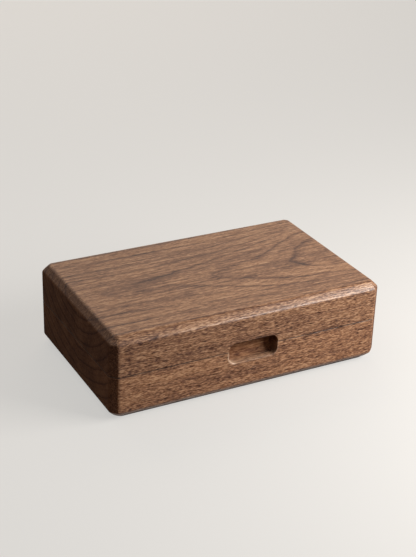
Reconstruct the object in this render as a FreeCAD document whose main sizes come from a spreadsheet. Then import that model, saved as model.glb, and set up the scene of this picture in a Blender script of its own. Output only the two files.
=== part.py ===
import FreeCAD, Part
import math
import os
import Sketcher
from types import SimpleNamespace

# A walnut ring box: two blocks milled from solid wood, one on the other, that part on one level
# line all round. Two brass stop hinges join them at the back, and a thumb recess crosses the
# parting line at the front. Velvet ring rolls fill the base and a velvet pad lines the lid.
# The origin is the middle of the underside, +X runs to the right, +Y to the back, +Z up.

# Driving sizes, in millimetres and degrees. Every other size is worked out from these.
SIZES = {
    # the two walnut blocks
    "box_length": 180.0,
    "box_depth": 112.0,
    "base_height": 27.8,
    "lid_height": 24.6,
    "side_wall": 12.0,
    "front_wall": 14.0,
    "back_wall": 14.0,
    "floor_thick": 7.0,
    "crown_thick": 8.0,
    "bevel": 4.3,
    "bevel_ease": 2.8,
    "rim_ease": 0.4,
    "well_corner": 5.0,
    # the thumb recess, which sits a little right of the middle
    "thumb_width": 32.6,
    "thumb_below": 8.2,
    "thumb_above": 5.0,
    "thumb_depth": 8.0,
    "thumb_corner": 4.5,
    "thumb_floor_round": 3.6,
    "thumb_shift": 1.0,
    # the felt under the base
    "felt_thick": 1.0,
    "felt_margin": 1.0,
    "felt_corner": 4.0,
    # the stop hinges: leaves, knuckles, pin and the heels that meet when the lid is open
    "hinge_spread": 104.0,
    "leaf_length": 28.0,
    "leaf_depth": 9.5,
    "leaf_thick": 1.6,
    "leaf_sink": 0.1,
    "mortise_play": 0.1,
    "pin_radius": 1.0,
    "pin_drive_play": 0.01,
    "pin_running_play": 0.05,
    "pin_chamfer": 0.2,
    "knuckle_radius": 2.0,
    "knuckle_play": 0.15,
    "knuckle_web": 0.25,
    "mid_knuckle": 9.2,
    "heel_web": 0.85,
    "heel_foot": 1.4,
    "stop_angle": 95.0,
    # the countersunk screws, three to a leaf
    "screw_pitch": 9.0,
    "screw_inset": 5.0,
    "screw_length": 8.0,
    "screw_tip": 2.0,
    "shank_radius": 1.0,
    "head_radius": 2.0,
    "head_sink": 0.05,
    "slot_width": 0.5,
    "slot_depth": 0.5,
    "leaf_hole_play": 0.1,
    "pilot_play": 0.05,
    # the disc magnets let into the front rims
    "magnet_spread": 124.0,
    "magnet_radius": 3.0,
    "magnet_thick": 3.0,
    "magnet_chamfer": 0.25,
    "magnet_sink": 0.1,
    "magnet_play": 0.05,
    # the flocked lining of the walls
    "lining_thick": 1.2,
    "lining_drop": 1.5,
    "glue_gap": 0.05,
    # the insert of ring rolls in the base
    "insert_play": 0.3,
    "board_thick": 1.5,
    "roll_height": 14.0,
    "roll_gap": 0.3,
    "velvet_thick": 0.8,
    "foam_play": 0.1,
    # the pad in the lid
    "card_thick": 1.0,
    "pad_thick": 2.4,
    "pad_edge_round": 1.4,
}

# How many there are of each repeated piece.
ROLLS = 6
SCREWS_PER_LEAF = 3

# Two places closer than this are the same place.
NEAR = 1e-4


class Measure:
    """A size that holds both its number and the sheet expression that it stands for."""

    def __init__(self, value, text):
        self.value = float(value)
        self.text = text

    def __add__(self, other):
        other = as_measure(other)
        return Measure(self.value + other.value, f"({self.text} + {other.text})")

    def __sub__(self, other):
        other = as_measure(other)
        return Measure(self.value - other.value, f"({self.text} - {other.text})")

    def __mul__(self, other):
        other = as_measure(other)
        return Measure(self.value * other.value, f"({self.text} * {other.text})")

    def __truediv__(self, other):
        other = as_measure(other)
        return Measure(self.value / other.value, f"({self.text} / {other.text})")

    def __neg__(self):
        return self * -1


def as_measure(number):
    """A plain number as a Measure, and a Measure as it is."""
    if isinstance(number, Measure):
        return number
    return Measure(number, f"({number})")


def smaller(one, other):
    """The lesser of two Measures."""
    return Measure(min(one.value, other.value), f"min({one.text}; {other.text})")


def tangent(angle):
    """The tangent of a Measure in degrees."""
    return Measure(math.tan(math.radians(angle.value)), f"tan({angle.text} * 1deg)")


doc = FreeCAD.newDocument("RingBox")
sheet = doc.addObject("Spreadsheet::Sheet", "Sizes")
for row, (alias, number) in enumerate(SIZES.items(), 1):
    sheet.set(f"A{row}", str(number))
    sheet.setAlias(f"A{row}", alias)
doc.recompute()
s = SimpleNamespace(**{alias: Measure(number, f"Sizes.{alias}") for alias, number in SIZES.items()})

# Levels and places that several pieces share.
parting = s.felt_thick + s.base_height
floor_level = s.felt_thick + s.floor_thick
top_level = parting + s.lid_height
ceiling_level = top_level - s.crown_thick
front_face = -s.box_depth / 2
back_face = s.box_depth / 2
left_face = -s.box_length / 2
right_face = s.box_length / 2
zero = as_measure(0)

# The well, which is the same plan in the base and in the lid.
well_left = left_face + s.side_wall
well_right = right_face - s.side_wall
well_front = front_face + s.front_wall
well_back = back_face - s.back_wall

# The hinge pin stands off the back so that the knuckles turn clear of the wood, and the heels
# reach past the knuckles. The screws have 90 degree heads.
pin_stand_off = s.knuckle_radius + s.knuckle_play + s.knuckle_web
heel_reach = s.knuckle_radius + s.knuckle_play + s.heel_web
head_height = s.head_radius - s.shank_radius

sub_parts = []


# Documents, sketches and features

def new_body(label, x=zero, y=zero, z=zero, flipped=False):
    """A sub-part placed at x, y, z, and turned over about X where it is flipped."""
    body = doc.addObject("PartDesign::Body", label)
    body.Label = label
    turn = FreeCAD.Rotation(FreeCAD.Vector(1, 0, 0), 180 if flipped else 0)
    body.Placement = FreeCAD.Placement(FreeCAD.Vector(x.value, y.value, z.value), turn)
    for axis, place in (("x", x), ("y", y), ("z", z)):
        body.setExpression(f"Placement.Base.{axis}", place.text)
    sub_parts.append(body)
    return body


def new_sketch(body, name, role, offset=zero):
    """A sketch on one of the body's own planes, moved along that plane's normal by offset."""
    sketch = body.newObject("Sketcher::SketchObject", f"{body.Name}_{name}")
    plane = [p for p in body.Origin.OriginFeatures if p.Role == role][0]
    sketch.AttachmentSupport = [(plane, "")]
    sketch.MapMode = "FlatFace"
    sketch.AttachmentOffset = FreeCAD.Placement(FreeCAD.Vector(0, 0, offset.value), FreeCAD.Rotation())
    sketch.setExpression("AttachmentOffset.Base.z", offset.text)
    return sketch


def hold(sketch, size, kind, *geometry):
    """Adds a constraint whose value stays tied to the sheet."""
    index = sketch.addConstraint(Sketcher.Constraint(kind, *geometry, size.value))
    name = f"held_{index}"
    sketch.renameConstraint(index, name)
    sketch.setExpression(f"Constraints.{name}", size.text)


def hold_point(sketch, element, point, x, y):
    """Ties one point of a sketch element to its distances from the sketch's origin."""
    hold(sketch, x, "DistanceX", -1, 1, element, point)
    hold(sketch, y, "DistanceY", -1, 1, element, point)


def flat(x, y):
    """A point of a sketch."""
    return FreeCAD.Vector(x.value, y.value, 0)


def add_outline(sketch, points):
    """A closed outline of straight lines through points, each a pair of Measures."""
    first = sketch.GeometryCount
    count = len(points)
    for i in range(count):
        sketch.addGeometry(Part.LineSegment(flat(*points[i]), flat(*points[(i + 1) % count])))
    for i in range(count):
        after = first + (i + 1) % count
        sketch.addConstraint(Sketcher.Constraint("Coincident", first + i, 2, after, 1))
        hold_point(sketch, first + i, 1, *points[i])


def add_rectangle(sketch, x_low, x_high, y_low, y_high):
    """An upright rectangle between two places across and two places up."""
    add_outline(sketch, [(x_low, y_low), (x_high, y_low), (x_high, y_high), (x_low, y_high)])


def add_rounded_rectangle(sketch, x_low, x_high, y_low, y_high, radius):
    """An upright rectangle whose corners are tangent arcs of that radius."""
    corners = [
        (x_low, y_low, 1, 1),
        (x_high, y_low, -1, 1),
        (x_high, y_high, -1, -1),
        (x_low, y_high, 1, -1),
    ]
    first = sketch.GeometryCount
    for i in range(4):
        x, y, inward_x, inward_y = corners[i]
        next_x, next_y, next_inward_x, next_inward_y = corners[(i + 1) % 4]
        if i % 2 == 0:
            start, end = (x + radius * inward_x, y), (next_x + radius * next_inward_x, next_y)
        else:
            start, end = (x, y + radius * inward_y), (next_x, next_y + radius * next_inward_y)
        sketch.addGeometry(Part.LineSegment(flat(*start), flat(*end)))
    for i in range(4):
        x, y, inward_x, inward_y = corners[i]
        centre = flat(x + radius * inward_x, y + radius * inward_y)
        circle = Part.Circle(centre, FreeCAD.Vector(0, 0, 1), radius.value)
        start_angle = math.pi * (2 + i) / 2
        sketch.addGeometry(Part.ArcOfCircle(circle, start_angle, start_angle + math.pi / 2))
    for i in range(4):
        line, before, arc = first + i, first + (i + 3) % 4, first + 4 + i
        sketch.addConstraint(Sketcher.Constraint("Tangent", arc, 1, before, 2))
        sketch.addConstraint(Sketcher.Constraint("Tangent", arc, 2, line, 1))
        sketch.addConstraint(Sketcher.Constraint("Horizontal" if i % 2 == 0 else "Vertical", line))
        hold(sketch, radius, "Radius", arc)
    hold(sketch, y_low, "DistanceY", -1, 1, first, 1)
    hold(sketch, x_high, "DistanceX", -1, 1, first + 1, 1)
    hold(sketch, y_high, "DistanceY", -1, 1, first + 2, 1)
    hold(sketch, x_low, "DistanceX", -1, 1, first + 3, 1)


def add_circle(sketch, x, y, radius):
    """A circle about x, y."""
    index = sketch.addGeometry(Part.Circle(flat(x, y), FreeCAD.Vector(0, 0, 1), radius.value))
    hold_point(sketch, index, 3, x, y)
    hold(sketch, radius, "Radius", index)


def add_arch(sketch, half_width, low, spring):
    """A flat-bottomed arch: upright sides from low to spring, and a half circle over them."""
    left_foot, right_foot = (-half_width, low), (half_width, low)
    left_spring, right_spring = (-half_width, spring), (half_width, spring)
    sketch.addGeometry(Part.LineSegment(flat(*left_foot), flat(*right_foot)))
    sketch.addGeometry(Part.LineSegment(flat(*right_foot), flat(*right_spring)))
    centre = FreeCAD.Vector(0, spring.value, 0)
    circle = Part.Circle(centre, FreeCAD.Vector(0, 0, 1), half_width.value)
    sketch.addGeometry(Part.ArcOfCircle(circle, 0, math.pi))
    sketch.addGeometry(Part.LineSegment(flat(*left_spring), flat(*left_foot)))
    for i in range(4):
        sketch.addConstraint(Sketcher.Constraint("Coincident", i, 2, (i + 1) % 4, 1))
    hold_point(sketch, 0, 1, *left_foot)
    hold_point(sketch, 0, 2, *right_foot)
    hold_point(sketch, 1, 2, *right_spring)
    hold_point(sketch, 3, 1, *left_spring)
    hold(sketch, spring, "DistanceY", -1, 1, 2, 3)


def finish_feature(body, feature, removes=False):
    """Makes a feature the body's tip, and stops if it failed or if a cut took nothing away."""
    before = body.Tip.Shape.Volume if removes else 0
    body.Tip = feature
    doc.recompute()
    if "Invalid" in feature.State or "Error" in feature.State or feature.Shape.isNull():
        raise RuntimeError(f"{feature.Name} failed: {feature.State}")
    if removes and feature.Shape.Volume > before - NEAR:
        raise RuntimeError(f"{feature.Name} cut nothing")
    return feature


def pad(body, name, sketch, length):
    """Extrudes a sketch along its plane's normal."""
    feature = body.newObject("PartDesign::Pad", f"{body.Name}_{name}")
    feature.Profile = sketch
    feature.setExpression("Length", length.text)
    return finish_feature(body, feature)


def pocket(body, name, sketch, depth, forward=False):
    """Cuts a sketch against its plane's normal, or along it where forward is set."""
    tip = body.Tip
    feature = body.newObject("PartDesign::Pocket", f"{body.Name}_{name}")
    feature.Profile = sketch
    feature.Reversed = forward
    feature.setExpression("Length", depth.text)
    body.Tip = tip
    return finish_feature(body, feature, removes=True)


def dress(body, kind, name, size_name, size, chosen):
    """A fillet or a chamfer on the edges of the body's tip that chosen accepts."""
    tip = body.Tip
    names = [f"Edge{i}" for i, edge in enumerate(tip.Shape.Edges, 1) if chosen(edge.BoundBox)]
    if not names:
        raise RuntimeError(f"{body.Name}_{name} found no edges")
    feature = body.newObject(f"PartDesign::{kind}", f"{body.Name}_{name}")
    feature.Base = (tip, names)
    feature.setExpression(size_name, size.text)
    return finish_feature(body, feature)


def round_edges(body, name, radius, chosen):
    """A fillet of that radius."""
    return dress(body, "Fillet", name, "Radius", radius, chosen)


def chamfer_edges(body, name, size, chosen):
    """A chamfer of that size at 45 degrees."""
    return dress(body, "Chamfer", name, "Size", size, chosen)


def runs_along(box, axis):
    """Is this the box of a straight edge along that axis?"""
    lengths = {"X": box.XLength, "Y": box.YLength, "Z": box.ZLength}
    own = lengths.pop(axis)
    return own > NEAR and max(lengths.values()) < NEAR


def lies_at(box, axis, place):
    """Is this the box of an edge that keeps to one place on that axis?"""
    low = {"X": box.XMin, "Y": box.YMin, "Z": box.ZMin}[axis]
    high = {"X": box.XMax, "Y": box.YMax, "Z": box.ZMax}[axis]
    return abs(low - place.value) < NEAR and abs(high - place.value) < NEAR


def lies_within(box, left, right, front, back):
    """Is the edge inside that plan?"""
    across = box.XMin > left.value - NEAR and box.XMax < right.value + NEAR
    along = box.YMin > front.value - NEAR and box.YMax < back.value + NEAR
    return across and along


# Base and lid: walnut blocks, milled hollow, with every cut that the fittings need

def block(label, low, high, outside):
    """A walnut block from low to high, bevelled at its corners and round its outside level."""
    body = new_body(label)
    plan = new_sketch(body, "plan", "XY_Plane", low)
    add_rectangle(plan, left_face, right_face, front_face, back_face)
    pad(body, "blank", plan, high - low)
    chamfer_edges(body, "corners", s.bevel, lambda box: runs_along(box, "Z"))
    chamfer_edges(body, "outside", s.bevel, lambda box: lies_at(box, "Z", outside))
    round_edges(body, "bevel_ease", s.bevel_ease, lambda box: not lies_at(box, "Z", parting))
    round_edges(body, "rim_ease", s.rim_ease, lambda box: lies_at(box, "Z", parting))
    return body


def mill_well(body, depth, upward):
    """Hollows a block from its rim, with the corner radius that a cutter leaves."""
    plan = new_sketch(body, "well_plan", "XY_Plane", parting)
    add_rectangle(plan, well_left, well_right, well_front, well_back)
    pocket(body, "well", plan, depth, upward)

    def inside(box):
        return lies_within(box, well_left, well_right, well_front, well_back)

    round_edges(body, "well_corners", s.well_corner, lambda box: runs_along(box, "Z") and inside(box))
    round_edges(body, "well_ease", s.rim_ease, lambda box: lies_at(box, "Z", parting) and inside(box))


def mill_thumb_recess(body, far_level, near_level):
    """Cuts this block's share of the thumb recess, from far_level to past the rim at near_level."""
    share = far_level - parting if far_level.value > parting.value else parting - far_level
    corner = smaller(s.thumb_corner, share - s.rim_ease * 2)
    left = s.thumb_shift - s.thumb_width / 2
    right = s.thumb_shift + s.thumb_width / 2
    recess_floor = front_face + s.thumb_depth
    face = new_sketch(body, "thumb_face", "XZ_Plane", -front_face)
    if far_level.value < near_level.value:
        add_rectangle(face, left, right, far_level, near_level)
    else:
        add_rectangle(face, left, right, near_level, far_level)
    pocket(body, "thumb", face, s.thumb_depth)

    def inside(box):
        return lies_within(box, left, right, front_face, recess_floor)

    def far_corner(box):
        return runs_along(box, "Y") and lies_at(box, "Z", far_level) and inside(box)

    round_edges(body, "thumb_corners", corner, far_corner)

    def floor_edge(box):
        return lies_at(box, "Y", recess_floor) and not lies_at(box, "Z", parting) and inside(box)

    round_edges(body, "thumb_floor", s.thumb_floor_round, floor_edge)
    round_edges(body, "thumb_mouth", s.rim_ease, lambda box: lies_at(box, "Y", front_face) and inside(box))


def mill_fittings(body, upward):
    """Cuts the hinge mortises, the pilot holes in them and the magnet holes into a rim."""
    half_mortise = s.leaf_length / 2 + s.mortise_play
    mortises = new_sketch(body, "mortise_plan", "XY_Plane", parting)
    pilots = new_sketch(body, "pilot_plan", "XY_Plane", parting)
    magnets = new_sketch(body, "magnet_plan", "XY_Plane", parting)
    for side in (-1, 1):
        middle = s.hinge_spread * side / 2
        add_rectangle(mortises, middle - half_mortise, middle + half_mortise,
                      back_face - s.leaf_depth - s.mortise_play, back_face + s.rim_ease)
        for number in range(SCREWS_PER_LEAF):
            step = number - (SCREWS_PER_LEAF - 1) / 2
            add_circle(pilots, middle + s.screw_pitch * step, back_face - s.screw_inset,
                       s.shank_radius + s.pilot_play)
        add_circle(magnets, s.magnet_spread * side / 2, front_face + s.front_wall / 2,
                   s.magnet_radius + s.magnet_play)
    pocket(body, "mortises", mortises, s.leaf_thick + s.leaf_sink, upward)
    pocket(body, "pilots", pilots, s.leaf_sink + s.head_sink + s.screw_length + s.pilot_play, upward)
    pocket(body, "magnet_holes", magnets, s.magnet_sink + s.magnet_thick + s.glue_gap, upward)


base_block = block("base_block", s.felt_thick, parting, s.felt_thick)
mill_well(base_block, s.base_height - s.floor_thick, upward=False)
mill_thumb_recess(base_block, parting - s.thumb_below, parting + s.rim_ease)
mill_fittings(base_block, upward=False)

lid_block = block("lid_block", parting, top_level, top_level)
mill_well(lid_block, s.lid_height - s.crown_thick, upward=True)
mill_thumb_recess(lid_block, parting + s.thumb_above, parting - s.rim_ease)
mill_fittings(lid_block, upward=True)


# Base felt: a thin sheet glued under the base, inside its bevelled foot

felt_inset = s.bevel + s.felt_margin
base_felt = new_body("base_felt")
felt_plan = new_sketch(base_felt, "plan", "XY_Plane")
add_rectangle(felt_plan, left_face + felt_inset, right_face - felt_inset,
              front_face + felt_inset, back_face - felt_inset)
pad(base_felt, "sheet", felt_plan, s.felt_thick)
round_edges(base_felt, "corners", s.felt_corner, lambda box: runs_along(box, "Z"))


# Stop hinges: two leaves with interleaved knuckles on one pin. Each leaf has a heel behind the
# pin, and the mitred heels meet when the lid stands at the stop angle. Sizes are from the pin.

def circle_run(body, name, start, radius):
    """A sketch of a circle about the pin, at a place along it."""
    ring = new_sketch(body, name, "YZ_Plane", start)
    add_circle(ring, zero, zero, radius)
    return ring


def hinge_leaf(label, x, side):
    """The base's leaf, with side -1, or the lid's, with side 1, centred on x along the box."""
    body = new_body(label, x, back_face + pin_stand_off, parting)
    face = s.leaf_sink * side
    plate_end = -pin_stand_off - s.leaf_depth
    mitre_drop = s.leaf_sink + heel_reach * tangent(s.stop_angle / 2)
    heel_end = (mitre_drop + s.heel_foot) * side
    plate_back = (s.leaf_sink + s.leaf_thick) * side
    section = new_sketch(body, "section", "YZ_Plane", -s.leaf_length / 2)
    add_outline(section, [
        (plate_end, face),
        (zero, face),
        (heel_reach, mitre_drop * side),
        (heel_reach, heel_end),
        (-pin_stand_off, heel_end),
        (-pin_stand_off, plate_back),
        (plate_end, plate_back),
    ])
    pad(body, "plate", section, s.leaf_length)

    clear_radius = s.knuckle_radius + s.knuckle_play
    half_gap = s.mid_knuckle / 2 + s.knuckle_play
    outer_run = s.leaf_length / 2 - half_gap
    if side < 0:
        room = circle_run(body, "room", -half_gap, clear_radius)
        pocket(body, "knuckle_room", room, half_gap * 2, forward=True)
        left = circle_run(body, "left_ring", -s.leaf_length / 2, s.knuckle_radius)
        pad(body, "left_knuckle", left, outer_run)
        right = circle_run(body, "right_ring", half_gap, s.knuckle_radius)
        pad(body, "right_knuckle", right, outer_run)
        bore_radius = s.pin_radius + s.pin_drive_play
    else:
        side_room = s.leaf_length / 2 - s.mid_knuckle / 2
        left = circle_run(body, "left_room_ring", -s.leaf_length / 2, clear_radius)
        pocket(body, "left_room", left, side_room, forward=True)
        right = circle_run(body, "right_room_ring", s.mid_knuckle / 2, clear_radius)
        pocket(body, "right_room", right, side_room, forward=True)
        middle = circle_run(body, "middle_ring", -s.mid_knuckle / 2, s.knuckle_radius)
        pad(body, "middle_knuckle", middle, s.mid_knuckle)
        bore_radius = s.pin_radius + s.pin_running_play
    bore = circle_run(body, "bore_ring", -s.leaf_length / 2, bore_radius)
    pocket(body, "bore", bore, s.leaf_length, forward=True)

    hole_radius = s.shank_radius + s.leaf_hole_play
    holes = new_sketch(body, "hole_plan", "XY_Plane", face)
    for number in range(SCREWS_PER_LEAF):
        step = number - (SCREWS_PER_LEAF - 1) / 2
        add_circle(holes, s.screw_pitch * step, -pin_stand_off - s.screw_inset, hole_radius)
    pocket(body, "holes", holes, s.leaf_thick, forward=side > 0)

    def hole_mouth(box):
        round_hole = abs(box.XLength - 2 * hole_radius.value) < NEAR
        return round_hole and lies_at(box, "Z", face) and box.YMax < -pin_stand_off.value

    chamfer_edges(body, "countersinks", head_height + s.head_sink, hole_mouth)
    return body


def hinge_pin(label, x):
    """A brass pin as long as the barrel, with its ends broken."""
    body = new_body(label, x, back_face + pin_stand_off, parting)
    ring = circle_run(body, "ring", -s.leaf_length / 2, s.pin_radius)
    pad(body, "rod", ring, s.leaf_length)
    half = s.leaf_length / 2
    chamfer_edges(body, "ends", s.pin_chamfer,
                  lambda box: lies_at(box, "X", half) or lies_at(box, "X", -half))
    return body


# Hinge screws: slotted, countersunk, three in a row; the lid's are the same row turned over

def hinge_screws(label, x, side):
    """The row of screws in one leaf. The first screw is on the body's origin, head up."""
    first = x - s.screw_pitch * ((SCREWS_PER_LEAF - 1) / 2)
    level = parting + (s.leaf_sink + s.head_sink) * side
    body = new_body(label, first, back_face - s.screw_inset, level, flipped=side > 0)
    profile = new_sketch(body, "profile", "XZ_Plane")
    add_outline(profile, [
        (zero, zero),
        (s.head_radius, zero),
        (s.shank_radius, -head_height),
        (s.shank_radius, s.screw_tip - s.screw_length),
        (zero, -s.screw_length),
    ])
    turned = body.newObject("PartDesign::Revolution", f"{body.Name}_turned")
    turned.Profile = profile
    turned.ReferenceAxis = (profile, ["V_Axis"])
    turned.Angle = 360
    finish_feature(body, turned)
    slot_plan = new_sketch(body, "slot_plan", "XY_Plane")
    add_rectangle(slot_plan, -s.head_radius, s.head_radius, -s.slot_width / 2, s.slot_width / 2)
    slot = pocket(body, "slot", slot_plan, s.slot_depth)
    row = body.newObject("PartDesign::LinearPattern", f"{body.Name}_row")
    row.Originals = [turned, slot]
    row.Direction = (slot_plan, ["H_Axis"])
    row.setExpression("Length", (s.screw_pitch * (SCREWS_PER_LEAF - 1)).text)
    row.Occurrences = SCREWS_PER_LEAF
    finish_feature(body, row)
    return body


for side_name, hand in (("left", -1), ("right", 1)):
    hinge_x = s.hinge_spread * hand / 2
    hinge_leaf(f"hinge_{side_name}_base_leaf", hinge_x, -1)
    hinge_leaf(f"hinge_{side_name}_lid_leaf", hinge_x, 1)
    hinge_pin(f"hinge_{side_name}_pin", hinge_x)
    hinge_screws(f"hinge_{side_name}_base_screws", hinge_x, -1)
    hinge_screws(f"hinge_{side_name}_lid_screws", hinge_x, 1)


# Magnets: four discs let into the front rims, one pair over the other

def magnet(label, x, low):
    """A disc with broken edges, glued into its hole."""
    body = new_body(label, x, front_face + s.front_wall / 2, low)
    ring = new_sketch(body, "ring", "XY_Plane")
    add_circle(ring, zero, zero, s.magnet_radius)
    pad(body, "disc", ring, s.magnet_thick)
    chamfer_edges(body, "edges", s.magnet_chamfer,
                  lambda box: lies_at(box, "Z", zero) or lies_at(box, "Z", s.magnet_thick))
    return body


for side_name, hand in (("left", -1), ("right", 1)):
    magnet_x = s.magnet_spread * hand / 2
    magnet(f"magnet_base_{side_name}", magnet_x, parting - s.magnet_sink - s.magnet_thick)
    magnet(f"magnet_lid_{side_name}", magnet_x, parting + s.magnet_sink)


# Linings: a flocked strip round the walls of each well, stopping short of the rim

def lining(label, low, high):
    """The strip as one closed band from low to high."""
    body = new_body(label)
    plan = new_sketch(body, "plan", "XY_Plane", low)
    for gap in (s.glue_gap, s.glue_gap + s.lining_thick):
        add_rounded_rectangle(plan, well_left + gap, well_right - gap, well_front + gap, well_back - gap,
                              s.well_corner - gap)
    pad(body, "band", plan, high - low)
    return body


lining("base_lining", floor_level, parting - s.lining_drop)
lining("lid_lining", parting + s.lining_drop, ceiling_level)


# Insert: a board on the floor of the base with the ring rolls glued to it in rows

lined = s.glue_gap + s.lining_thick + s.insert_play
insert_left, insert_right = well_left + lined, well_right - lined
insert_front, insert_back = well_front + lined, well_back - lined
insert_corner = s.well_corner - s.glue_gap - s.lining_thick

insert_board = new_body("insert_board")
board_plan = new_sketch(insert_board, "plan", "XY_Plane", floor_level)
add_rounded_rectangle(board_plan, insert_left, insert_right, insert_front, insert_back, insert_corner)
pad(insert_board, "sheet", board_plan, s.board_thick)

board_top = floor_level + s.board_thick
roll_pitch = (insert_back - insert_front + s.roll_gap) / ROLLS
roll_half_width = (roll_pitch - s.roll_gap) / 2
roll_length = insert_right - insert_left
roll_spring = s.roll_height - roll_half_width


def roll_body(label, y, skin):
    """A roll drawn in by skin all over but underneath: round on top and at both ends."""
    half = roll_length / 2 - skin
    body = new_body(label, zero, y, board_top)
    arch = new_sketch(body, "arch", "YZ_Plane", -half)
    add_arch(arch, roll_half_width - skin, zero, roll_spring)
    pad(body, "roll", arch, half * 2)

    def end_edge(box):
        return (lies_at(box, "X", half) or lies_at(box, "X", -half)) and not lies_at(box, "Z", zero)

    round_edges(body, "ends", insert_corner - skin, end_edge)
    return body


def roll_cover(label, y):
    """The velvet of one roll, a skin that is open underneath."""
    body = roll_body(label, y, zero)
    solid = body.Tip
    faces = [f"Face{i}" for i, face in enumerate(solid.Shape.Faces, 1) if lies_at(face.BoundBox, "Z", zero)]
    hollow = body.newObject("PartDesign::Thickness", f"{body.Name}_hollow")
    hollow.Base = (solid, faces)
    hollow.Reversed = True
    hollow.setExpression("Value", s.velvet_thick.text)
    body.Tip = solid
    finish_feature(body, hollow, removes=True)
    return body


def roll_foam(label, y):
    """The foam strip inside one roll."""
    return roll_body(label, y, s.velvet_thick + s.foam_play)


for number in range(ROLLS):
    roll_y = insert_front + roll_half_width + roll_pitch * number
    roll_cover(f"ring_roll_{number + 1}", roll_y)
    roll_foam(f"ring_roll_foam_{number + 1}", roll_y)


# Lid pad: a card and a foam sheet, wrapped from below in velvet and glued to the ceiling

pad_low = ceiling_level - s.card_thick - s.pad_thick


def pad_outline(sketch, inset):
    """The pad's plan, drawn in by inset all round."""
    add_rounded_rectangle(sketch, insert_left + inset, insert_right - inset, insert_front + inset,
                          insert_back - inset, insert_corner - inset)


lid_pad = new_body("lid_pad_cover")
pad_face = pad_low - s.velvet_thick
pad_plan = new_sketch(lid_pad, "plan", "XY_Plane", pad_face)
pad_outline(pad_plan, zero)
pad(lid_pad, "sheet", pad_plan, ceiling_level - pad_face)
round_edges(lid_pad, "crown", s.pad_edge_round, lambda box: lies_at(box, "Z", pad_face))
pad_hollow = new_sketch(lid_pad, "hollow_plan", "XY_Plane", ceiling_level)
pad_outline(pad_hollow, s.velvet_thick)
pocket(lid_pad, "hollow", pad_hollow, s.card_thick + s.pad_thick)


def pad_filling(label, low, high):
    """A flat sheet inside the pad's velvet."""
    body = new_body(label)
    plan = new_sketch(body, "plan", "XY_Plane", low)
    pad_outline(plan, s.velvet_thick + s.foam_play)
    pad(body, "sheet", plan, high - low)
    return body


pad_filling("lid_pad_foam", pad_low, pad_low + s.pad_thick)
pad_filling("lid_card", pad_low + s.pad_thick, ceiling_level)


# Checks of the whole document, and the files

doc.recompute()
for item in doc.Objects:
    if "Invalid" in item.State or "Error" in item.State:
        raise RuntimeError(f"{item.Name} is left failed: {item.State}")
for body in sub_parts:
    if body.Shape.isNull() or not body.Shape.isValid():
        raise RuntimeError(f"{body.Label} has no sound shape")

os.makedirs("parts", exist_ok=True)
for body in sub_parts:
    body.Shape.exportStep(f"parts/{body.Label}.step")
print(f"{len(sub_parts)} sub-parts written")
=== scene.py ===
import math

import bmesh
import bpy
import numpy as np
from mathutils import Matrix, Vector


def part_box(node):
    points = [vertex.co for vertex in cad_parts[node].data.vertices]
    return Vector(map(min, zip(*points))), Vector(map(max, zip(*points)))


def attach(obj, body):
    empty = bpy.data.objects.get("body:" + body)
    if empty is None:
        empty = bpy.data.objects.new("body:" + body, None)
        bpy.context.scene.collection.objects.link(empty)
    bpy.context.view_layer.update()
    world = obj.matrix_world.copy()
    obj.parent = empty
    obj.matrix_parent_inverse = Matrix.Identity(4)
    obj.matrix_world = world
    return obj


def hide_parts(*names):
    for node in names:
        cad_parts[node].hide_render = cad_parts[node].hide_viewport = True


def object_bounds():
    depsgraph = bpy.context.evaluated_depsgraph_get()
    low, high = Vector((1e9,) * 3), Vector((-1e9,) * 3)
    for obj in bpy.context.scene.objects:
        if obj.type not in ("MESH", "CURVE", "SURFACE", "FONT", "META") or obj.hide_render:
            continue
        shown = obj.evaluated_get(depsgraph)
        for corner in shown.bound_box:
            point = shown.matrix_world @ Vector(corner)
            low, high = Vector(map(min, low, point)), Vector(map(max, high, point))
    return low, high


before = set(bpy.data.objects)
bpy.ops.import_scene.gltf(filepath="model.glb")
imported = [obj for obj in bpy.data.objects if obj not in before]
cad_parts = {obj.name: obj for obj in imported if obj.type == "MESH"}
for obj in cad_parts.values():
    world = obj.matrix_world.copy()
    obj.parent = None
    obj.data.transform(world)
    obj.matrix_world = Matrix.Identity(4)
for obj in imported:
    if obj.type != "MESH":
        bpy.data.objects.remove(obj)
cad_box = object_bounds()


# Base block: the lower half of the box, milled from one piece of solid walnut with its grain along
# the box, then sanded and oiled. Its growth rings are those of the lid, a saw's width further down.

MILLIMETRE = 0.001

# A Mix node's sockets when it mixes colours: the share, the two colours and the mixed colour.
MIX_SHARE, MIX_FIRST, MIX_SECOND, MIX_RESULT = 0, 6, 7, 2

# How far a noise is moved along x, y and z for each step of its seed, in clouds.
SEED_STEP = (7.3, 3.1, 1)


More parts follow.
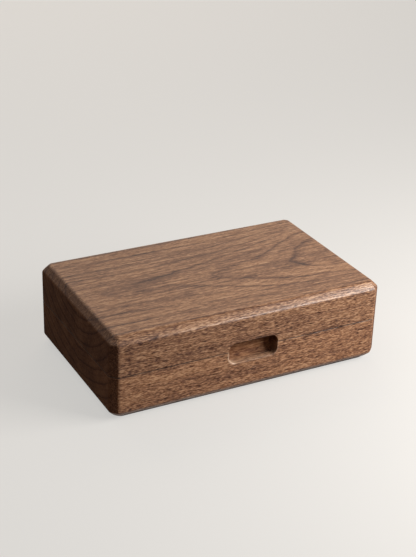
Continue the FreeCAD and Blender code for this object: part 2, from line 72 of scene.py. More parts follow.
class Tone:
    """A value that varies over a surface: one output of a node, on which arithmetic adds Math nodes."""

    def __init__(self, finish, socket):
        self.finish = finish
        self.socket = socket

    def math(self, operation, *terms):
        return self.finish.node("ShaderNodeMath", {"operation": operation}, dict(enumerate(terms)))

    def __add__(self, other):
        return self.math("ADD", self, other)

    def __sub__(self, other):
        return self.math("SUBTRACT", self, other)

    def __rsub__(self, other):
        return self.math("SUBTRACT", other, self)

    def __mul__(self, other):
        return self.math("MULTIPLY", self, other)

    def __truediv__(self, other):
        return self.math("DIVIDE", self, other)

    def __pow__(self, other):
        return self.math("POWER", self, other)

    def __abs__(self):
        return self.math("ABSOLUTE", self)

    __radd__ = __add__
    __rmul__ = __mul__

    def at_least(self, other):
        """The larger of the two."""
        return self.math("MAXIMUM", self, other)

    def at_most(self, other):
        """The smaller of the two."""
        return self.math("MINIMUM", self, other)

    def fraction(self):
        """What stands behind the decimal point."""
        return self.math("FRACT", self)

    def rise(self, low, high, way="SMOOTHSTEP"):
        """0 up to low, 1 from high on, and a smooth or straight step between them."""
        limits = {"Value": self, "From Min": low, "From Max": high}
        return self.finish.node("ShaderNodeMapRange", {"interpolation_type": way}, limits)


def fresh_tree(owner):
    """The node tree of a material or a world, emptied."""
    owner.use_nodes = True
    owner.node_tree.nodes.clear()
    return owner.node_tree


class Finish:
    """A material in the making. Its place is the Object coordinates, in millimetres."""

    def __init__(self, name):
        self.material = bpy.data.materials.new(name)
        self.tree = fresh_tree(self.material)
        metres = self.node("ShaderNodeTexCoord", {}, {}, "Object")
        self.place = self.vector("SCALE", {0: metres, "Scale": 1 / MILLIMETRE})

    def node(self, kind, settings, sockets, output=0):
        """Adds a node: its settings first, then the values or links of its sockets; gives one output."""
        made = self.tree.nodes.new(kind)
        for name, setting in settings.items():
            if name == "way":
                made.color_ramp.interpolation = setting
            elif name == "stops":
                ramp = made.color_ramp
                while len(ramp.elements) < len(setting):
                    ramp.elements.new(1)
                for element, (position, colour) in zip(ramp.elements, setting):
                    element.position = position
                    element.color = (*colour, 1)
            else:
                setattr(made, name, setting)
        for name, value in sockets.items():
            socket = made.inputs[name]
            if isinstance(value, Tone):
                self.tree.links.new(value.socket, socket)
            else:
                socket.default_value = (*value, 1) if socket.type == "RGBA" else value
        return Tone(self, made.outputs[output])

    def vector(self, operation, sockets):
        """One step of vector maths."""
        return self.node("ShaderNodeVectorMath", {"operation": operation}, sockets)

    def parts(self, vector, axes="XYZ"):
        """A vector's parts along these axes."""
        return [self.node("ShaderNodeSeparateXYZ", {}, {0: vector}, axis) for axis in axes]

    def noise(self, size, detail, seed, place=None):
        """Cloudy noise about 0, mostly within 0.2 of it. Its clouds are size millimetres along x, y
        and z."""
        shrunk = self.vector("DIVIDE", {0: place or self.place, 1: size})
        moved = self.vector("ADD", {0: shrunk, 1: tuple(seed * step for step in SEED_STEP)})
        clouds = self.node("ShaderNodeTexNoise", {}, {"Vector": moved, "Scale": 1, "Detail": detail})
        return clouds - 0.5

    def shifted(self, direction, distance):
        """The place moved by that many times direction."""
        step = self.vector("SCALE", {0: direction, "Scale": distance})
        return self.vector("ADD", {0: self.place, 1: step})

    def ramp(self, position, stops, way="LINEAR"):
        """A colour that follows position from 0 to 1 through stops of (place, colour)."""
        return self.node("ShaderNodeValToRGB", {"stops": stops, "way": way}, {0: position})

    def mix(self, share, first, second, way="MIX"):
        """The first colour, with that share of the second mixed in."""
        settings = {"data_type": "RGBA", "blend_type": way}
        sockets = {MIX_SHARE: share, MIX_FIRST: first, MIX_SECOND: second}
        return self.node("ShaderNodeMix", settings, sockets, MIX_RESULT)

    def surface(self, height, **sockets):
        """Ends the material with its surface; height is its relief in millimetres."""
        named = {name.replace("_", " "): value for name, value in sockets.items()}
        named["Normal"] = self.node("ShaderNodeBump", {}, {"Height": height, "Distance": MILLIMETRE})
        shader = self.node("ShaderNodeBsdfPrincipled", {}, named)
        output = self.tree.nodes.new("ShaderNodeOutputMaterial")
        self.tree.links.new(shader.socket, output.inputs["Surface"])
        return self.material


def srgb(red, green, blue):
    """A colour as a screen shows it, from 0 to 255, in the linear values that a shader takes."""
    shares = np.array((red, green, blue)) / 255
    return tuple(np.where(shares < 0.04045, shares / 12.92, ((shares + 0.055) / 1.055) ** 2.4))


# The box in the frame: its right end, its back and its top, and the level of the parting line.
HALF_LENGTH, HALF_DEPTH, TOP = (np.array(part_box("lid_block")[1]) / MILLIMETRE).tolist()
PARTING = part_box("lid_block")[0].z / MILLIMETRE

# The tree's heart runs over the top face, this far above it and to the front of its middle. Each
# row is one growth ring, from the innermost out: at even steps along the box, the square of how far
# the ring meets the top face from under the heart, below 0 where it hasn't come up to that face yet.
# So the rings show there as arches that open to the right, and the heart isn't round.
HEART_ABOVE = 36
HEART_SIDE = -3
HEART_BLEND = 4
RINGS_BEHIND = [
    (-1100, -950, -800, -620, -450, -280, -150, 110, 440),
    (-700, -450, -280, -120, 8, 62, 169, 680, 1150),
    (-150, 0, 45, 145, 250, 440, 740, 1130, 1550),
    (560, 530, 550, 600, 665, 800, 1060, 1450, 1850),
    (1060, 1000, 940, 980, 1080, 1320, 1640, 1860, 2000),
    (1900, 1900, 1900, 1900, 1900, 1950, 2150, 2400, 2500),
]
RINGS_IN_FRONT = [
    (-1100, -950, -800, -620, -450, -280, -190, 290, 350),
    (-700, -450, -280, -120, 4, 250, 610, 850, 1000),
    (-150, 0, 35, 62, 330, 780, 1089, 1150, 1320),
    (620, 620, 780, 1020, 1280, 1640, 1940, 2040, 2110),
    (1380, 1400, 1480, 1600, 1760, 1960, 2200, 2350, 2450),
    (2200, 2200, 2250, 2350, 2450, 2600, 2750, 2850, 2900),
]
RING_REACH = 100
RING_SPACING = 8

# How dark the wood is on its way from the start of one growth ring, at 0, to the next, at 1.
RING_SHADES = [(0, 1), (0.09, 0.15), (0.3, 0), (0.42, 0.3), (0.5, 0), (0.76, 0), (0.92, 0.4), (1, 1)]


def ring_radii(wood, along, across, which):
    """The radii of three growth rings round the heart at this place along the box, over the ring
    reach: the root of the heart's height squared and the ring's square, blended under the heart."""
    sides = []
    for rings in (RINGS_IN_FRONT, RINGS_BEHIND):
        radii = np.sqrt(HEART_ABOVE ** 2 + np.array(rings[which])) / RING_REACH
        shares = np.linspace(0, 1, radii.shape[1])
        sides.append(wood.ramp(along, list(zip(shares, radii.T)), "CARDINAL"))
    blend = wood.mix(across.rise(-HEART_BLEND, HEART_BLEND), *sides)
    channels = ("Red", "Green", "Blue")
    return [wood.node("ShaderNodeSeparateColor", {}, {0: blend}, channel) for channel in channels]


def ring_number(wood, x, across, radius):
    """Counts growth rings out from the innermost: whole on a ring, and in even steps between two."""
    along = (x + HALF_LENGTH) / (2 * HALF_LENGTH)
    rings = ring_radii(wood, along, across, slice(0, 3)) + ring_radii(wood, along, across, slice(3, 6))
    beyond = RING_REACH / RING_SPACING
    number = ((radius - rings[0]) * beyond).at_most(0)
    for inner, outer in zip(rings, rings[1:]):
        number = number + radius.rise(inner, outer, "LINEAR")
    return number + ((radius - rings[-1]) * beyond).at_least(0)


def growth_rings(wood, x, y, z, kerf):
    """The growth rings, which sway and waver along the box and are darker in some places. kerf is
    how much wood the saw took between this block and the lid."""
    depth = TOP + kerf - z
    across = y - HEART_SIDE
    radius = (across * across + (depth + HEART_ABOVE) ** 2) ** 0.5
    sway = wood.noise((55, 18, 18), detail=2, seed=3) * 3
    waver = wood.noise((12, 4, 4), detail=3, seed=5) * 1.6
    number = ring_number(wood, x, across, (radius + sway + waver) / RING_REACH)
    lumps = 0.9 + wood.noise((30, 10, 10), detail=1, seed=8) * 1.4
    return wood.ramp(number.fraction(), [(place, (dark,) * 3) for place, dark in RING_SHADES]) * lumps


# The walnut's bevels, about the sine of their 45 degrees, and the ease of its rims. The look of the
# front and back faces fades in over the last stretch of wood before them.
BEVEL = 4.3
DIAGONAL = 0.7
RIM_EASE = 0.4
FACE_BLEND = 9

# The thumb recess: its outline in the front face, its floor, and how far out along the box the
# parting line is drawn across that floor.
THUMB_MIDDLE = 1
THUMB_LEVEL = PARTING - 1.6
THUMB_HALF_WIDE = 16.3
THUMB_HALF_HIGH = 6.6
THUMB_CORNER = 4.5
THUMB_DEPTH = 8
THUMB_FLOOR = THUMB_DEPTH - HALF_DEPTH
THUMB_END = 16

# The middle of the band that hands have polished, on the lower edge of the front top bevel.
BURNISHED_LEVEL = TOP - BEVEL + 0.7

# How far under the parting line the painted highlight on its lower edge lies.
LIT_BELOW = 0.62

WOOD_TONES = [
    (0.05, srgb(58, 38, 31)),
    (0.3, srgb(98, 68, 54)),
    (0.5, srgb(130, 95, 71)),
    (0.7, srgb(160, 122, 92)),
    (0.95, srgb(188, 152, 120)),
]
# The end grain's dark tone, also used as painted shade; then painted shade for the parting line's groove,
# a painted highlight just under it, and a painted glint at the thumb recess's mouth.
DEEP_WOOD = srgb(72, 46, 34)
GROOVE_SHADE = srgb(34, 22, 16)
LIT_WOOD = srgb(196, 160, 126)
GLINT_WOOD = srgb(206, 178, 152)


def past_mouth(x, z):
    """How far a place lies outside the thumb recess's outline, a rectangle with round corners: the
    way to the rectangle inside it that joins the corners' centres, less the corner's radius."""
    aside = (abs(x - THUMB_MIDDLE) - (THUMB_HALF_WIDE - THUMB_CORNER)).at_least(0)
    above = (abs(z - THUMB_LEVEL) - (THUMB_HALF_HIGH - THUMB_CORNER)).at_least(0)
    return (aside * aside + above * above) ** 0.5 - THUMB_CORNER


def seam(x, y):
    """The eased edges at the parting line, outside and across the thumb recess: 1 on them, 0 elsewhere."""
    side = abs(y) - HALF_DEPTH
    end = abs(x) - HALF_LENGTH
    corner = (side + end + BEVEL) * DIAGONAL
    outside = side.at_least(end).at_least(corner).rise(-RIM_EASE - 0.1, -RIM_EASE)
    recess = abs(y - THUMB_FLOOR).rise(0.3, 0.2) * abs(x).rise(THUMB_END + 1, THUMB_END)
    return outside.at_least(recess)


def walnut(name, kerf, warmth):
    """Solid walnut: rings round the heart, short wavy fibres along x and open pores. The end grain is
    darker and drinks the oil. Hands have polished the top bevel. Painted shade darkens the upright
    bevels, the top of the thumb recess and the parting line; painted highlights light the recess's mouth
    and the parting line's lower edge."""
    wood = Finish(name)
    x, y, z = wood.parts(wood.place)
    faces = abs(y).rise(HALF_DEPTH - FACE_BLEND, HALF_DEPTH)
    rings = growth_rings(wood, x, y, z, kerf) * (1 - faces * 0.7)

    # Where the surface turns towards the ends: the end grain, and the upright bevels beside it.
    facing = wood.node("ShaderNodeTexCoord", {}, {}, "Normal")
    turned, level = (abs(part) for part in wood.parts(facing, "XZ"))
    end_grain = turned.rise(0.6, 0.95)
    upright_bevels = turned.rise(0.35, 0.6) * (1 - level.rise(0.3, 0.6)) * (1 - end_grain)

    # The grain. Its fibres, hairs, flecks and pores bend together, and its streaks and bands don't.
    bent = wood.shifted((0, 1.6, 1.6), wood.noise((9, 5, 5), detail=1, seed=9))
    fibres = wood.noise((3.2, 0.65, 0.65), detail=2, seed=11, place=bent)
    hairs = wood.noise((8, 0.5, 0.5), detail=2, seed=12, place=bent)
    flecks = wood.noise((2.0, 0.6, 0.6), detail=1, seed=13, place=bent)
    pores = wood.noise((5, 0.4, 0.4), detail=1, seed=19, place=bent).rise(0.12, 0.2)
    streaks = wood.noise((34, 1.6, 2.4), detail=2, seed=15)
    bands = wood.noise((110, 14, 14), detail=1, seed=17)
    grain = fibres * (0.4 + faces * 0.15) + hairs * 0.45 + flecks * (0.2 + faces * 0.2)
    light = grain * (1.8 + faces * 0.5) + streaks * (0.8 - faces * 0.1) - pores * 0.18
    broad = bands * (0.4 - faces * 0.15 + end_grain * 0.2)
    light = 0.55 + light * (1 - end_grain * 0.5) + broad - rings * 0.34
    colour = wood.mix(1, wood.ramp(light, WOOD_TONES), warmth, "MULTIPLY")
    # The end grain is darker in its own right; the upright bevels beside it get a little painted shade on
    # top.
    colour = wood.mix(turned.rise(0.45, 0.8) * 0.5 + upright_bevels * 0.2, colour, DEEP_WOOD)

    # The thumb recess, with painted shade towards its top, and the parting line, with painted shade in its
    # groove and a painted highlight on its lower edge.
    past = past_mouth(x, z)
    behind = y - THUMB_FLOOR
    inside = past.rise(0.8, 0.2) * behind.rise(-6, -5) * behind.rise(0.5, 0.2)
    colour = wood.mix(inside * z.rise(PARTING - 4, PARTING + 1) * 0.5, colour, DEEP_WOOD)
    eased = seam(x, y)
    groove = abs(z - PARTING).rise(0.38, 0.18)
    lit = abs(z - PARTING + LIT_BELOW).rise(0.25, 0.1)
    colour = wood.mix(eased * groove * 0.85, colour, GROOVE_SHADE)
    colour = wood.mix(eased * lit * (1 - inside) * 0.2, colour, LIT_WOOD)

    # A painted glint round the lower rim of the recess's mouth, most of it at the lower left, and the film
    # of oil, which is thicker there.
    mouth_glint = abs(past).rise(1.3, 0.3) * behind.rise(-1, -6) * z.rise(PARTING + 0.5, PARTING - 2)
    mouth_glint = mouth_glint * (0.2 + x.rise(THUMB_MIDDLE - 9, THUMB_MIDDLE - 15) * 0.6)
    colour = wood.mix(mouth_glint * (1 + fibres * 2), colour, GLINT_WOOD)
    burnished = abs(z - BURNISHED_LEVEL).rise(2.4, 0.8) * faces
    film = 0.42 + faces * 0.13 + burnished * 0.3 + mouth_glint * 0.6 + hairs * (0.4 + faces) + flecks * faces
    film = film * (1 - end_grain * 0.9) * (1 - upright_bevels * 0.9) * (1 - inside * 0.9)
    return wood.surface(
        Base_Color=colour,
        Roughness=0.6 + grain * 0.4,
        height=grain * 0.12 - pores * 0.05,
        Specular_IOR_Level=0.0,
        Coat_Weight=film,
        Coat_Roughness=0.34,
        Coat_IOR=1.5,
    )


def wear(finish, *nodes):
    """Gives CAD nodes a finish."""
    for node in nodes:
        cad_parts[node].material_slots[0].material = finish


wear(walnut("walnut_base", kerf=3.0, warmth=(1.1, 1.07, 1.04)), "base_block")


# Base felt: a thin sheet of pressed wool felt, cut to the underside inside its bevelled foot and
# glued on, so that the box neither scratches nor slides. Its cut edge is soft.

# The points along each round corner, long side and short side of a rounded plan.
CORNER_STEPS = 10
LONG_STEPS = 60
SHORT_STEPS = 34

# The rows over a soft sheet's face, round its edge and back to the middle.
FACE_STEPS = 26
EDGE_STEPS = 7
BACK_STEPS = 20


def stitch(name, grid):
    """A smooth mesh from a grid of points: rows along it, columns round it, doubled points merged."""
    rows, columns = grid.shape[:2]
    index = np.arange(rows * columns).reshape(rows, columns)
    index = np.concatenate([index, index[:, :1]], axis=1)
    faces = np.stack([index[:-1, :-1], index[:-1, 1:], index[1:, 1:], index[1:, :-1]], axis=-1)
    mesh = bpy.data.meshes.new(name)
    mesh.from_pydata((grid.reshape(-1, 3) * MILLIMETRE).tolist(), [], faces.reshape(-1, 4).tolist())
    shell = bmesh.new()
    shell.from_mesh(mesh)
    bmesh.ops.remove_doubles(shell, verts=shell.verts, dist=MILLIMETRE / 1000)
    bmesh.ops.recalc_face_normals(shell, faces=shell.faces)
    shell.to_mesh(mesh)
    shell.free()
    mesh.shade_smooth()
    piece = bpy.data.objects.new(name, mesh)
    bpy.context.scene.collection.objects.link(piece)
    return piece


def settle(piece, finish, body, slot, *nodes):
    """Finishes a piece: its material, the body that it rides on and the CAD nodes that it replaces."""
    piece.data.materials.append(finish)
    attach(piece, body)
    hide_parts(*nodes)


def box_mm(node):
    """The lowest and the highest corner of a CAD node, in millimetres."""
    low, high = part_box(node)
    return np.array(low) / MILLIMETRE, np.array(high) / MILLIMETRE


def rounded_plan(half_x, half_y, corner, inset):
    """Rounded rectangles, one for each inset: four arcs whose radius is the corner less the inset,
    not under 0, about centres that far inside the half sizes less the inset, joined by straight sides."""
    inset = np.asarray(inset)[:, None]
    radius = np.maximum(corner - inset, 0)
    centre_x = np.maximum(half_x - inset - radius, 0)
    centre_y = np.maximum(half_y - inset - radius, 0)
    signs = [(1, 1), (-1, 1), (-1, -1), (1, -1)]
    runs = []
    for quarter, (sign_x, sign_y) in enumerate(signs):
        angle = (quarter + np.linspace(0, 1, CORNER_STEPS)) * math.pi / 2
        arc_x = sign_x * centre_x + radius * np.cos(angle)
        arc_y = sign_y * centre_y + radius * np.sin(angle)
        next_x, next_y = signs[(quarter + 1) % 4]
        turn = (quarter + 1) * math.pi / 2
        end_x = next_x * centre_x + radius * math.cos(turn)
        end_y = next_y * centre_y + radius * math.sin(turn)
        share = np.linspace(0, 1, (LONG_STEPS, SHORT_STEPS)[quarter % 2] + 1)[1:-1]
        side_x = arc_x[:, -1:] + (end_x - arc_x[:, -1:]) * share
        side_y = arc_y[:, -1:] + (end_y - arc_y[:, -1:]) * share
        runs += [np.stack([arc_x, arc_y], axis=-1), np.stack([side_x, side_y], axis=-1)]
    return np.concatenate(runs, axis=1)


def slab(low, high, corner, edge, crown=0, down=False):
    """A soft sheet between two corners: from the middle of one face out to its rounded edge and back
    along the other. The crowned face stands crown proud of its edge, falling off as the square of
    the way out."""
    half_x, half_y = (high - low)[:2] / 2
    thick = high[2] - low[2]
    way_in = np.linspace(half_y, edge, FACE_STEPS)
    bend = np.linspace(0, math.pi / 2, EDGE_STEPS)[1:]
    face_inset = np.concatenate([way_in, edge * (1 - np.sin(bend))])
    out = np.clip(1 - (face_inset - edge) / (half_y - edge), 0, 1)
    edge_drop = np.concatenate([np.zeros(FACE_STEPS), edge * (1 - np.cos(bend))])
    face_level = thick - crown * out ** 2 - edge_drop
    back_inset = np.concatenate([[0], np.linspace(edge, half_y, BACK_STEPS)])
    inset = np.concatenate([face_inset, back_inset])
    level = np.concatenate([face_level, np.zeros(len(back_inset))])
    plan = rounded_plan(half_x, half_y, corner, inset)
    height = np.broadcast_to(level[:, None], plan.shape[:2])
    z = high[2] - height if down else low[2] + height
    middle = (low + high) / 2
    return np.dstack([plan + middle[:2], z])


def felt():
    """Pressed wool: short fibres lying every way, in a dark brown with lighter hairs."""
    wool = Finish("felt")
    matted = wool.noise((1.4, 1.4, 1.4), detail=4, seed=23)
    hairs = wool.noise((0.3, 0.3, 0.3), detail=3, seed=29)
    colour = wool.ramp(0.5 + matted * 0.8 + hairs * 0.7, [
        (0.2, srgb(38, 31, 27)),
        (0.5, srgb(56, 47, 41)),
        (0.8, srgb(84, 73, 65)),
    ])
    relief = matted * 0.2 + hairs * 0.15
    return wool.surface(Base_Color=colour, Roughness=0.95, Sheen_Weight=0.3, height=relief)


low, high = box_mm("base_felt")
felt_sheet = stitch("felt_sheet", slab(low, high, corner=4, edge=0.35))
settle(felt_sheet, felt(), "base", "felt", "base_felt")


# Base lining: a stiff strip, flocked with short velvet pile, bent round the walls of the well and
# glued. It stops under the rim, and its top edge is rounded by the pile.

VELVET = srgb(176, 163, 148)
LINING_THICK = 1.2
LINING_CORNER = 4.95
BEAD_STEPS = 9
WALL_STEPS = 8


def pile(name, nap):
    """Velvet or flock: a short pile that lies this way and that, nap millimetres long."""
    cloth = Finish(name)
    lay = cloth.noise((14, 9, 9), detail=2, seed=31)
    brushed = cloth.noise((3.5, 2.5, 2.5), detail=3, seed=37)
    tips = cloth.noise((0.28, 0.28, 0.28), detail=2, seed=41)
    base = np.array(VELVET)
    colours = cloth.ramp(0.5 + lay * 0.4 + brushed * 0.3 + tips * 0.5, [
        (0.15, tuple(base * 0.62)),
        (0.5, VELVET),
        (0.85, tuple(np.minimum(base * 1.28, 1))),
    ])
    return cloth.surface(
        Base_Color=colours,
        Roughness=0.9,
        Sheen_Weight=0.55,
        Sheen_Roughness=0.35,
        Sheen_Tint=tuple(np.minimum(base * 1.4, 1)),
        Specular_IOR_Level=0.2,
        height=tips * nap + brushed * nap * 0.5,
    )


def strip(node, edge_up):
    """A band round a rounded rectangle: its section, a flat strip with one round edge, carried round."""
    low, high = box_mm(node)
    half_x, half_y = (high - low)[:2] / 2
    around = np.linspace(0, math.pi, BEAD_STEPS)[1:-1]
    bead_in = LINING_THICK / 2 * (1 - np.cos(around))
    bead_up = LINING_THICK / 2 * np.sin(around)
    body = high[2] - low[2] - LINING_THICK / 2
    rise = np.linspace(0, body, WALL_STEPS)
    outer = np.zeros(WALL_STEPS)
    inner = np.full(WALL_STEPS, LINING_THICK)
    section_in = np.concatenate([outer, bead_in, inner, [0]])
    section_up = np.concatenate([rise, body + bead_up, rise[::-1], [0]])
    plan = rounded_plan(half_x, half_y, LINING_CORNER, section_in)
    height = np.broadcast_to(section_up[:, None], plan.shape[:2])
    z = low[2] + height if edge_up else high[2] - height
    return np.dstack([plan, z])


flock = pile("flock", nap=0.12)
base_strip = stitch("base_lining_strip", strip("base_lining", edge_up=True))
settle(base_strip, flock, "base", "flock", "base_lining")


# Ring insert: a card board that lies on the floor of the base, and six ring rolls glued to it side
# by side. Each is a strip of foam wrapped in velvet, its ends tucked under in small folds.

ROLLS = 6

# The radius that the ends of a roll and of its foam are drawn in by, and the share of it at the
# foot. Then the powers of a roll's section above and below, and the domes of its flat ends.
ROLL_END = 3.6
FOAM_END = 2.6
FOOT_DRAW = 0.2
TOP_POWER = 2.25
FOOT_POWER = 7
DOME_HEIGHT = 0.25
DOME_INSET = 0.3

# The folds at the ends, how many go round a roll and how they slant, and the slow waves along it.
FOLD_DEPTH = 0.3
FOLD_REACH = 10
FOLDS_ROUND = (11, 5)
FOLD_SLANT = 0.1
WAVE_DEPTH = 0.07
WAVE_LENGTHS = (9, 17, 25)

# The rows along a roll, round each end and over its flat end, and the points round it.
SPAN_STEPS = 90
BEND_STEPS = 9
CAP_STEPS = 6
ROUND_STEPS = 72


def card():
    """Grey board: pressed pulp with fine flecks."""
    board = Finish("card")
    pulp = board.noise((2.2, 2.2, 2.2), detail=4, seed=43)
    fleck = board.noise((0.4, 0.4, 0.4), detail=2, seed=47).rise(0.15, 0.22)
    tones = [(0.2, srgb(104, 98, 90)), (0.8, srgb(148, 141, 130))]
    colour = board.ramp(0.5 + pulp * 0.7 - fleck * 0.2, tones)
    return board.surface(Base_Color=colour, Roughness=0.85, height=pulp * 0.06)


def roll_profile(half_long, end_round):
    """A roll from end to end: the place along it, how far its section is drawn in there, over a
    quarter turn at each end, and the section's share, which falls to 0 over each flat end."""
    bend = np.linspace(0, math.pi / 2, BEND_STEPS)[1:]
    cap = np.linspace(1, 0, CAP_STEPS + 1)[1:]
    straight = half_long - end_round
    out = straight + end_round * np.sin(bend)
    drawn = end_round * (1 - np.cos(bend))
    tip = np.full(CAP_STEPS, half_long)
    flat_end = np.full(CAP_STEPS, end_round)
    x = np.concatenate([-tip, -out[::-1], np.linspace(-1, 1, SPAN_STEPS) * straight, out, tip])
    inward = np.concatenate([flat_end, drawn[::-1], np.zeros(SPAN_STEPS), drawn, flat_end])
    share = np.concatenate([cap[::-1], np.ones(SPAN_STEPS + 2 * len(bend)), cap])
    return x[:, None], inward[:, None], share[:, None]


def roll_grid(low, high, end_round, seed, folds):
    """A roll: a superellipse section, nearly square at its foot and round on top, carried along x and
    drawn in at each end. Folds run in from the ends and fade over the fold reach as a square, and
    the sum of three slow waves draws the section in by up to twice the wave depth."""
    half = (high - low) / 2
    x, inward, share = roll_profile(half[0], end_round)
    angle = np.linspace(0, 2 * math.pi, ROUND_STEPS, endpoint=False)
    cos, sin = np.cos(angle), np.sin(angle)
    upper = sin > 0
    power = 2 / np.where(upper, TOP_POWER, FOOT_POWER)
    side = np.sign(cos) * np.abs(cos) ** power
    rise = np.sign(sin) * np.abs(sin) ** power
    phase = np.random.default_rng(seed).uniform(0, 6.28, 2 + len(WAVE_LENGTHS))
    near_end = np.clip(1 - (half[0] - np.abs(x)) / FOLD_REACH, 0, 1) ** 2
    many, few = FOLDS_ROUND
    fold = np.cos(many * angle + phase[0]) * np.cos(few * angle + phase[1] + x * FOLD_SLANT)
    wave = sum(np.sin(x / length + start + 2 * angle) for length, start in zip(WAVE_LENGTHS, phase[2:]))
    folded = folds * near_end * (0.5 + 0.5 * fold) / half[1]
    soft = 1 - folded - WAVE_DEPTH * (1 + wave / len(WAVE_LENGTHS)) / half[1]
    across = (half[1] - inward) * share * side * soft
    up = np.where(upper, half[1] - inward, 2 * half[2] - half[1] - inward * FOOT_DRAW) * share
    z = rise * up * np.where(upper, soft, 1) + half[2] - half[1]
    dome = DOME_HEIGHT * (1 - share ** 2) - DOME_INSET
    along = np.broadcast_to(x + np.sign(x) * dome, across.shape)
    return np.dstack([along, across, z]) + (low + high) / 2


def foam():
    """Open-celled foam: small pits close together."""
    cells = Finish("foam")
    pits = cells.node("ShaderNodeTexVoronoi", {}, {"Vector": cells.place, "Scale": 2.2}, "Distance")
    colour = cells.ramp(pits, [(0.1, srgb(205, 198, 180)), (0.6, srgb(232, 227, 212))])
    return cells.surface(Base_Color=colour, Roughness=0.95, height=pits * 0.25)


grey_card = card()
velvet = pile("velvet", nap=0.1)
foam_finish = foam()
wear(grey_card, "insert_board")
for number in range(1, ROLLS + 1):
    low, high = box_mm(f"ring_roll_{number}")
    cover = stitch(f"roll_velvet_{number}", roll_grid(low, high, ROLL_END, number, FOLD_DEPTH))
    settle(cover, velvet, "base", "velvet", f"ring_roll_{number}")
    low, high = box_mm(f"ring_roll_foam_{number}")
    core = stitch(f"roll_foam_{number}", roll_grid(low, high, FOAM_END, number, folds=0))
    settle(core, foam_finish, "base", "foam", f"ring_roll_foam_{number}")


# Magnets: nickel-plated discs glued into the front rims, one pair over the other, which hold the
# lid down. The plating is bright, with faint cloudy wear.


def plated():
    """Nickel plate: faint cloudy wear over a bright coat."""
    nickel = Finish("nickel")
    cloud = nickel.noise((1.5, 1.5, 1.5), detail=4, seed=53)
    colour = nickel.ramp(0.5 + cloud, [(0.2, srgb(186, 184, 178)), (0.8, srgb(214, 212, 206))])
    roughness = 0.24 + cloud * 0.3
    return nickel.surface(Base_Color=colour, Metallic=1.0, Roughness=roughness, height=cloud * 0.004)


wear(plated(), "magnet_base_left", "magnet_base_right", "magnet_lid_left", "magnet_lid_right")


# Hinges: two solid brass stop hinges let into the back rims. The leaves are drawn brass, brushed
# along the barrel; the mitred heels behind the pins meet when the lid is up and hold it there.

SIDES = ("left", "right")


def brushed_brass(name, tone, gloss):
    """Brass brushed along x, a little dulled in patches by handling."""
    brass = Finish(name)
    brush = brass.noise((12, 0.12, 0.12), detail=3, seed=59)
    dull = brass.noise((6, 4, 4), detail=3, seed=61)
    colour = brass.ramp(0.5 + dull * 0.4 + brush * 0.4, [
        (0.2, tuple(np.array(tone) * 0.8)),
        (0.55, tone),
        (0.85, tuple(np.minimum(np.array(tone) * 1.15, 1))),
    ])
    roughness = gloss + dull * 0.2 + brush * 0.15
    return brass.surface(Base_Color=colour, Metallic=1.0, Roughness=roughness, height=brush * 0.01)


leaf_brass = brushed_brass("brass_leaves", srgb(218, 190, 138), gloss=0.3)
for side in SIDES:
    wear(leaf_brass, f"hinge_{side}_base_leaf", f"hinge_{side}_lid_leaf", f"hinge_{side}_pin")


# Hinge screws: slotted brass wood screws with countersunk heads, three to a leaf. They are turned,
# so they are brighter than the leaves.

screw_brass = brushed_brass("brass_screws", srgb(226, 200, 150), gloss=0.24)
for side in SIDES:
    wear(screw_brass, f"hinge_{side}_base_screws", f"hinge_{side}_lid_screws")


# Lid block: the upper half of the box, milled from the same piece of walnut as the base, with a
# hollow for the heads of the rings. Its top shows the growth rings as cathedral arches.

wear(walnut("walnut_lid", kerf=0.0, warmth=(1, 1, 1)), "lid_block")


# Lid lining: the same flocked strip as in the base, round the walls of the lid's hollow.

lid_strip = stitch("lid_lining_strip", strip("lid_lining", edge_up=False))
settle(lid_strip, flock, "lid", "flock", "lid_lining")


# Lid pad: a card and a sheet of foam wrapped in velvet, glued to the ceiling of the lid. The velvet
# is drawn over the edges, so the pad's face is crowned.

PAD_CROWN = 0.9

wear(grey_card, "lid_card")
low, high = box_mm("lid_pad_cover")
pad_velvet = stitch("lid_pad_velvet", slab(low, high, corner=3.7, edge=1.9, crown=PAD_CROWN, down=True))
settle(pad_velvet, velvet, "lid", "velvet", "lid_pad_cover")
low, high = box_mm("lid_pad_foam")
pad_foam = stitch("lid_pad_sheet", slab(low, high, corner=2.8, edge=1.2, crown=PAD_CROWN, down=True))
settle(pad_foam, foam_finish, "lid", "foam", "lid_pad_foam")


# Studio: a plain pale floor and three soft lamps: one near the box to the front right, a broad warm
# one behind it, and a weak one high at the back left. The floor is pale to the camera and in
# reflections, and throws back as little light as a table top does.

FLOOR_REACH = 6.0
FLOOR_TONE = srgb(230, 229, 226)
FLOOR_BOUNCE = srgb(112, 84, 66)
FLOOR_GLOW = 0.66
BACKDROP = srgb(218, 215, 210)
AMBIENT = srgb(230, 218, 210)
AMBIENT_STRENGTH = 0.15
BOX_MIDDLE = Vector((0, 0, (cad_box[0].z + cad_box[1].z) / 2))


def shader(tree, kind, colour, **sockets):
    """A plain shader of one colour."""
    made = tree.nodes.new(kind)
    made.inputs["Color"].default_value = (*colour, 1)
    for name, value in sockets.items():
        made.inputs[name].default_value = value
    return made.outputs[0]


def blended(tree, first, second):
    """A Mix Shader of two shaders. Its input 0, the share of the second, is set by the caller."""
    made = tree.nodes.new("ShaderNodeMixShader")
    tree.links.new(first, made.inputs[1])
    tree.links.new(second, made.inputs[2])
    return made


def seen_directly(tree, seen, unseen):
    """A shader that is one thing to the camera, mirrors and glass, and another to soft light."""
    path = tree.nodes.new("ShaderNodeLightPath")
    most = path.outputs["Is Camera Ray"]
    for name in ("Is Glossy Ray", "Is Transmission Ray"):
        larger = tree.nodes.new("ShaderNodeMath")
        larger.operation = "MAXIMUM"
        tree.links.new(most, larger.inputs[0])
        tree.links.new(path.outputs[name], larger.inputs[1])
        most = larger.outputs[0]
    choice = blended(tree, unseen, seen)
    tree.links.new(most, choice.inputs[0])
    return choice.outputs[0]


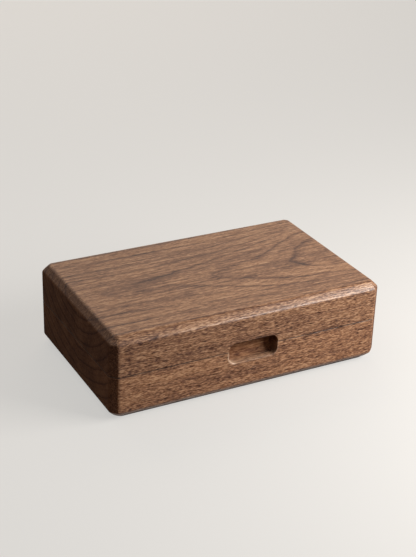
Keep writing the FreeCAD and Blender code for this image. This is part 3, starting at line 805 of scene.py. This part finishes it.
corners = [(-1, -1), (1, -1), (1, 1), (-1, 1)]
floor_mesh = bpy.data.meshes.new("floor")
floor_mesh.from_pydata([(x * FLOOR_REACH, y * FLOOR_REACH, 0) for x, y in corners], [], [(0, 1, 2, 3)])
floor = bpy.data.objects.new("floor", floor_mesh)
floor_paint = bpy.data.materials.new("floor_paint")
tree = fresh_tree(floor_paint)
lit = shader(tree, "ShaderNodeBsdfDiffuse", FLOOR_TONE)
glow = shader(tree, "ShaderNodeEmission", FLOOR_TONE)
pale = blended(tree, lit, glow)
pale.inputs[0].default_value = FLOOR_GLOW
dim = shader(tree, "ShaderNodeBsdfDiffuse", FLOOR_BOUNCE)
output = tree.nodes.new("ShaderNodeOutputMaterial")
tree.links.new(seen_directly(tree, pale.outputs[0], dim), output.inputs[0])
floor_mesh.materials.append(floor_paint)
bpy.context.scene.collection.objects.link(floor)

world = bpy.data.worlds.new("studio")
bpy.context.scene.world = world
tree = fresh_tree(world)
backdrop = shader(tree, "ShaderNodeBackground", BACKDROP, Strength=1.0)
ambient = shader(tree, "ShaderNodeBackground", AMBIENT, Strength=AMBIENT_STRENGTH)
output = tree.nodes.new("ShaderNodeOutputWorld")
tree.links.new(seen_directly(tree, backdrop, ambient), output.inputs[0])


def outward(azimuth, elevation):
    """The way out from the box, azimuth degrees round from the front to the right, and elevation up."""
    turn = math.radians(azimuth)
    lift = math.radians(elevation)
    return Vector((math.sin(turn) * math.cos(lift), -math.cos(turn) * math.cos(lift), math.sin(lift)))


def lamp(name, azimuth, elevation, distance, width, height, power, colour):
    """A soft lamp aimed at the box."""
    light = bpy.data.lights.new(name, "AREA")
    light.shape = "RECTANGLE"
    light.size = width
    light.size_y = height
    light.energy = power
    light.color = colour
    way_out = outward(azimuth, elevation)
    piece = bpy.data.objects.new(name, light)
    piece.location = BOX_MIDDLE + way_out * distance
    piece.rotation_mode = "QUATERNION"
    piece.rotation_quaternion = way_out.to_track_quat("Z", "Y")
    piece.visible_camera = False
    bpy.context.scene.collection.objects.link(piece)


lamp("key", 50, 29, distance=0.48, width=0.36, height=0.22, power=3.3, colour=(1.0, 0.95, 0.91))
lamp("wall", 168, 34, distance=1.2, width=1.4, height=1.0, power=5.7, colour=(1.0, 0.82, 0.66))
lamp("sky", -120, 60, distance=1.2, width=1.0, height=1.0, power=1.6, colour=(1.0, 0.97, 0.93))


# Camera: stands to the left of the box's middle, in front and above, at the angles fitted to the
# box's own edges, with the small roll that the picture has.

EYE = Vector((-0.33091, -0.61303, 0.39058))
AZIMUTH = -28.2992
ELEVATION = 26.1294
ROLL = math.radians(1.7937)
FOCAL_PIXELS = 1257.48
PICTURE_HEIGHT = 557
SENSOR = 36
NEAREST = 0.01

camera = bpy.data.objects.new("camera", bpy.data.cameras.new("camera"))
back = outward(AZIMUTH, ELEVATION)
level_right = (-back).cross(Vector((0, 0, 1))).normalized()
level_up = level_right.cross(-back)
right = math.cos(ROLL) * level_right + math.sin(ROLL) * level_up
up = math.cos(ROLL) * level_up - math.sin(ROLL) * level_right
camera.matrix_world = Matrix.Translation(EYE) @ Matrix((right, up, back)).transposed().to_4x4()
camera.data.lens = FOCAL_PIXELS * SENSOR / PICTURE_HEIGHT
camera.data.sensor_width = SENSOR
camera.data.clip_start = NEAREST
bpy.context.scene.collection.objects.link(camera)
bpy.context.scene.camera = camera
bpy.context.scene.view_settings.view_transform = "Standard"
